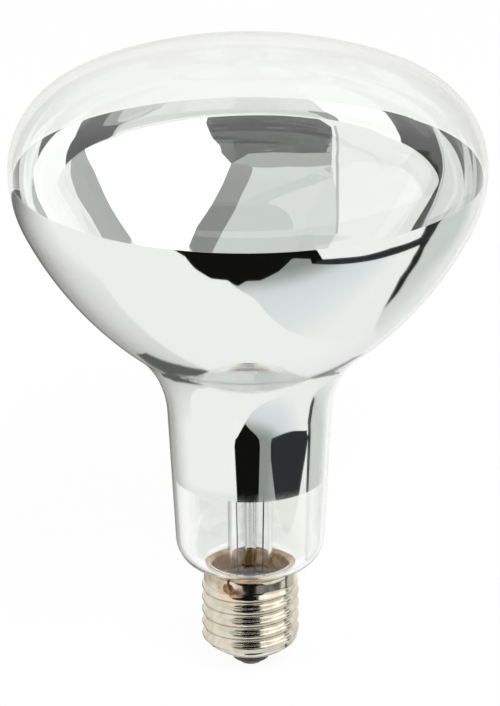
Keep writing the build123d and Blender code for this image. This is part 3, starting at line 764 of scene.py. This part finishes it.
nickel_plate, tree, shader = finish("nickel_plate", (0.72, 0.67, 0.56), 1.0, 0.1)
noise = ripple(tree, shader, 450.0, 0.000001, 1.0, (1, 1, 0.5))
mottle(tree, shader, noise, (0.64, 0.59, 0.48), (0.74, 0.69, 0.58), 0.15, 0.08)
plain_tone = shader.inputs["Base Color"].links[0].from_socket
plain_rough = shader.inputs["Roughness"].links[0].from_socket
fray = 1.1


def patch(tree, noise, place, size, edge):
    """Soft-edged patch round a place, in millimetres, that a noise frays: 1 in its middle, 0 outside."""
    where = tree.nodes.new("ShaderNodeTexCoord")
    shift = tree.nodes.new("ShaderNodeVectorMath")
    shift.operation = "SUBTRACT"
    shift.inputs[1].default_value = Vector(place) / 1000
    tree.links.new(where.outputs["Object"], shift.inputs[0])
    fit = tree.nodes.new("ShaderNodeVectorMath")
    fit.operation = "MULTIPLY"
    fit.inputs[1].default_value = [1000 / half for half in size]
    tree.links.new(shift.outputs[0], fit.inputs[0])
    far = tree.nodes.new("ShaderNodeVectorMath")
    far.operation = "LENGTH"
    tree.links.new(fit.outputs[0], far.inputs[0])
    middle = calc(tree, "SUBTRACT", far.outputs["Value"], fray / 2)
    frayed = calc(tree, "MULTIPLY_ADD", noise.outputs[0], fray, middle)
    near = tree.nodes.new("ShaderNodeMapRange")
    near.inputs["From Min"].default_value = 1.0
    near.inputs["From Max"].default_value = 1.0 - edge
    tree.links.new(frayed, near.inputs["Value"])
    return near.outputs[0]


def tint(tree, under, share, tone):
    """Lays a tone over the tone under it."""
    over = tree.nodes.new("ShaderNodeMix")
    over.data_type = "RGBA"
    tree.links.new(share, over.inputs["Factor"])
    tree.links.new(under, over.inputs["A"])
    over.inputs["B"].default_value = (*tone, 1)
    return over.outputs["Result"]


heat_bloom = patch(tree, noise, (-5.2, -11.2, 23.4), (5.0, 5.0, 1.9), 0.9)
burnt = patch(tree, noise, (-5.4, -11.3, 25.6), (4.4, 4.4, 1.6), 0.6)
burnt_core = patch(tree, noise, (-5.0, -11.4, 25.6), (3.2, 3.2, 0.9), 0.7)
brass_show = patch(tree, noise, (-9.5, -8.0, 27.4), (6.5, 6.5, 2.2), 1.0)
tone = plain_tone
for stain, strength, stain_tone in (
    (brass_show, 0.95, (0.42, 0.34, 0.2)),
    (heat_bloom, 0.75, (0.86, 0.62, 0.42)),
    (burnt, 0.9, (0.36, 0.16, 0.07)),
    (burnt_core, 0.7, (0.16, 0.06, 0.03)),
):
    tone = tint(tree, tone, calc(tree, "MULTIPLY", stain, strength), stain_tone)
inner_side = tree.nodes.new("ShaderNodeAttribute")
inner_side.attribute_name = "inside"
tone = tint(tree, tone, inner_side.outputs["Fac"], (0.3, 0.16, 0.075))
tree.links.new(tone, shader.inputs["Base Color"])
rough = tint(tree, plain_rough, burnt, (0.45, 0.45, 0.45))
rough = tint(tree, rough, inner_side.outputs["Fac"], (0.6, 0.6, 0.6))
tree.links.new(rough, shader.inputs["Roughness"])

inner_points = blank_points(shell_wall, inner_spacing)
outer_points = blank_points(0.0, outer_spacing)
half_wall = shell_wall / 2
rim_centre = (band_radius - half_wall, cap_height - half_wall)
rim = [on_circle(rim_centre, half_wall, angle) for angle in (30, 60, 90, 120, 150)]
points = inner_points[::-1] + outer_points + rim + [inner_points[-1]]
depths = [shell_wall] * len(inner_points) + [0.0] * (len(outer_points) + len(rim)) + [shell_wall]
shell = grown("screw_shell_skin", outline_mesh("screw_shell_skin", points, depths), thread_tree(), {
    "Facets": shell_facets, "Material": nickel_plate, "Pitch": thread_pitch / 1000,
    "Crest Radius": crest_radius / 1000, "Core Radius": core_radius / 1000,
    "First Crest": crest_start / 1000, "Thread End": thread_end / 1000,
})
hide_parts("screw_shell")
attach(shell, "root")


# Insulator: black glass cast into the lower end of the shell. It stands out under the lip as a short
# boss that tapers to the contact.
boss_radius = 5.24
seat_radius = 11.3
seat_steps = 14
seat_depth = shell_wall + 0.05
wire_hole = 0.9
insulator_facets = 96
insulator_glass, tree, shader = finish("insulator_glass", (0.035, 0.031, 0.02), 0.0, 0.25)
noise = ripple(tree, shader, 700.0, 0.00003, 3.0)
mottle(tree, shader, noise, (0.045, 0.04, 0.026), (0.024, 0.021, 0.014), 0.5, 0.3)
boss = [(wire_hole, 4.6), (wire_hole, 1.0), (3.5, 1.0), (4.3, 1.12), (4.85, 1.4), (5.15, 1.85),
        (boss_radius, 2.4), (boss_radius, 3.25)]
for k in range(seat_steps + 1):
    r = boss_radius + (seat_radius - boss_radius) * k / seat_steps
    boss.append((r, cone_height(r, seat_depth)))
boss.extend([(seat_radius, 7.0), (9.0, 6.0), (5.5, 4.9), (wire_hole, 4.6)])
insulator = grown("insulator_boss", outline_mesh("insulator_boss", boss), lathe, {
    "Facets": insulator_facets, "Material": insulator_glass,
})
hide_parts("base_insulator")
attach(insulator, "root")


# Centre contact: a low stamped button of tinned brass, dulled dark, with the solder that holds the end
# of the wire. A second spot of solder holds the other lead at the rim.
def dress(node, material):
    """Gives a carried-over piece its own material."""
    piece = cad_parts[node]
    piece.data.materials.clear()
    piece.data.materials.append(material)


tinned_brass, tree, shader = finish("tinned_brass", (0.12, 0.11, 0.09), 1.0, 0.45)
noise = ripple(tree, shader, 900.0, 0.00003, 4.0)
mottle(tree, shader, noise, (0.09, 0.08, 0.065), (0.2, 0.185, 0.16), 0.55, 0.35)
dress("centre_contact", tinned_brass)
solder_tin, tree, shader = finish("solder_tin", (0.55, 0.54, 0.52), 1.0, 0.3)
noise = ripple(tree, shader, 900.0, 0.00005, 3.0)
mottle(tree, shader, noise, (0.3, 0.28, 0.25), (0.52, 0.5, 0.47), 0.5, 0.3)
dress("contact_solder", solder_tin)
burnt_solder, tree, shader = finish("burnt_solder", (0.4, 0.2, 0.1), 1.0, 0.35)
noise = ripple(tree, shader, 800.0, 0.00006, 4.0)
mottle(tree, shader, noise, (0.22, 0.09, 0.045), (0.55, 0.36, 0.22), 0.55, 0.3)
dress("side_solder", burnt_solder)


# Cement: a paste of resin and marble dust that fills the gap between throat and shell and is baked.
# Heat leaves it in patchy browns, from tan to dark brown.
baked_cement, tree, shader = finish("baked_cement", (0.5, 0.27, 0.09), 0.0, 0.9)
noise = ripple(tree, shader, 260.0, 0.0002, 8.0)
mottle(tree, shader, noise, (0.3, 0.13, 0.04), (0.66, 0.39, 0.15), 0.95, 0.8)
dress("cement_ring", baked_cement)


# Stem: a flared glass tube pressed flat on the wires, with the exhaust tube inside it and the cane
# with its button above it. The glass has a faint tint in its thickness.
stem_glass = blown_glass("stem_glass", (0.985, 0.99, 0.985), 120.0, 0.00003)
for node in ("stem_flare", "exhaust_tube", "cane_and_button"):
    dress(node, stem_glass)


# Wires: copper outer leads dulled by the sealing fires, copper-coated seal wires, nickel inner leads
# and molybdenum supports. Each is drawn wire with fine lengthwise marks.
for name, nodes, worn, clean in (
    ("copper", ["outer_lead_side", "outer_lead_centre"], (0.1, 0.065, 0.045), (0.34, 0.2, 0.13)),
    ("seal_metal", ["seal_wire_left", "seal_wire_right"], (0.22, 0.1, 0.07), (0.5, 0.27, 0.2)),
    ("nickel_wire", ["inner_lead_left", "inner_lead_right"], (0.4, 0.37, 0.32), (0.62, 0.59, 0.54)),
    ("molybdenum", [f"support_wire_{k}" for k in range(1, 6)], (0.26, 0.26, 0.27), (0.5, 0.5, 0.51)),
):
    wire_metal, tree, shader = finish(name, clean, 1.0, 0.3)
    noise = ripple(tree, shader, 900.0, 0.00001, 3.0, (1, 1, 0.15))
    mottle(tree, shader, noise, worn, clean, 0.45, 0.28)
    for node in nodes:
        dress(node, wire_metal)


# Filament: tungsten wire wound into a fine coil, bent to an open ring and hung in the supports at the
# height of the bowl's focus.
filament_height = 98.0
ring_radius = 13.0
ring_gap = 50.0
coil_radius = 0.4
wire_radius = 0.085
coil_turns = 190
points_each_turn = 12
wire_facets = 6


def coil_tree():
    """Node tree that winds a wire round a ring that stays open at the front."""
    tree, given = maker_tree("wound_coil", "Turns", [
        "Ring Radius", "Ring Height", "Gap Angle", "Coil Radius", "Wire Radius",
    ])
    link = tree.links.new
    points = calc(tree, "MULTIPLY", given.outputs["Turns"], points_each_turn)
    chain = tree.nodes.new("GeometryNodeMeshLine")
    link(calc(tree, "ADD", points, 1.0), chain.inputs["Count"])
    number = tree.nodes.new("GeometryNodeInputIndex")
    share = calc(tree, "DIVIDE", number.outputs[0], points)
    open_angle = calc(tree, "SUBTRACT", 2 * math.pi, given.outputs["Gap Angle"])
    start = calc(tree, "ADD", calc(tree, "MULTIPLY", given.outputs["Gap Angle"], 0.5), -math.pi / 2)
    bearing = calc(tree, "MULTIPLY_ADD", share, open_angle, start)
    turn = calc(tree, "MULTIPLY", calc(tree, "MULTIPLY", share, given.outputs["Turns"]), 2 * math.pi)
    coil = given.outputs["Coil Radius"]
    radius = calc(tree, "MULTIPLY_ADD", calc(tree, "COSINE", turn), coil, given.outputs["Ring Radius"])
    height = calc(tree, "MULTIPLY_ADD", calc(tree, "SINE", turn), coil, given.outputs["Ring Height"])
    path = tree.nodes.new("GeometryNodeMeshToCurve")
    link(set_round(tree, chain.outputs[0], radius, bearing, height), path.inputs[0])
    section = tree.nodes.new("GeometryNodeCurvePrimitiveCircle")
    section.inputs["Resolution"].default_value = wire_facets
    link(given.outputs["Wire Radius"], section.inputs["Radius"])
    wire = tree.nodes.new("GeometryNodeCurveToMesh")
    wire.inputs["Fill Caps"].default_value = True
    link(path.outputs[0], wire.inputs["Curve"])
    link(section.outputs[0], wire.inputs["Profile Curve"])
    smooth = tree.nodes.new("GeometryNodeSetShadeSmooth")
    link(wire.outputs[0], smooth.inputs["Geometry"])
    hand_out(tree, given, smooth.outputs[0])
    return tree


tungsten, tree, shader = finish("tungsten", (0.3, 0.3, 0.31), 1.0, 0.4)
noise = ripple(tree, shader, 2500.0, 0.00001, 2.0)
mottle(tree, shader, noise, (0.2, 0.2, 0.21), (0.36, 0.36, 0.37), 0.5, 0.35)
coil = grown("filament_coil", outline_mesh("filament_coil", [(0, 0), (1, 0)]), coil_tree(), {
    "Turns": coil_turns, "Material": tungsten, "Ring Radius": ring_radius / 1000,
    "Ring Height": filament_height / 1000, "Gap Angle": math.radians(ring_gap),
    "Coil Radius": coil_radius / 1000, "Wire Radius": wire_radius / 1000,
})
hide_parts("filament")
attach(coil, "root")
